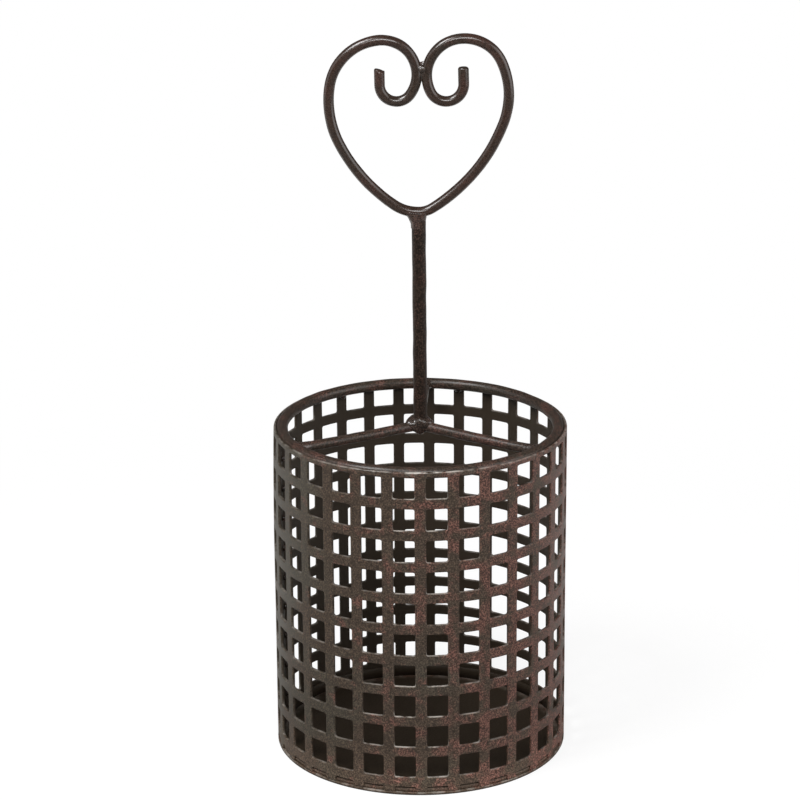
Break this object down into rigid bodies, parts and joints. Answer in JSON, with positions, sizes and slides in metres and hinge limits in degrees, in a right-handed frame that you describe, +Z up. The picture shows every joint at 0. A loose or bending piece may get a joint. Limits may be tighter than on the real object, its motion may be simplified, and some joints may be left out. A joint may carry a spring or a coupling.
{
  "type": "cutlery holder",
  "caption": "Round free-standing cutlery holder: a perforated steel basket divided by spokes, carried by an upright post that ends in a wire heart.",
  "frame": {"origin": "centre of the base plate's underside", "axes": "+Z up along the handle post; the heart lies in the XZ plane; the front faces -Y, with +X to the right of someone looking at it"},
  "size_m": [0.12, 0.12, 0.297],
  "materials": {
    "sheet_paint": "antique dark-brown paint, fine speckle, mottled reddish patches, satin",
    "wire_paint": "antique dark-brown paint, smoother and glossier than on the sheet",
    "weld_paint": "the same dark-brown paint over lumpy weld metal"
  },
  "bodies": {
    "root": {"base_plate": "sheet_paint", "base_hoop": "sheet_paint", "wall_sheet": "sheet_paint", "rim_ring": "wire_paint", "spoke_left": "wire_paint", "spoke_right": "wire_paint", "spoke_back": "wire_paint", "handle_post": "wire_paint", "heart_wire": "wire_paint", "hub_weld": "weld_paint", "foot_weld": "weld_paint", "scroll_weld": "weld_paint", "spoke_welds": "weld_paint", "ring_tacks": "weld_paint", "seam_tacks": "weld_paint", "hoop_tacks": "weld_paint"}
  },
  "joints": []
}
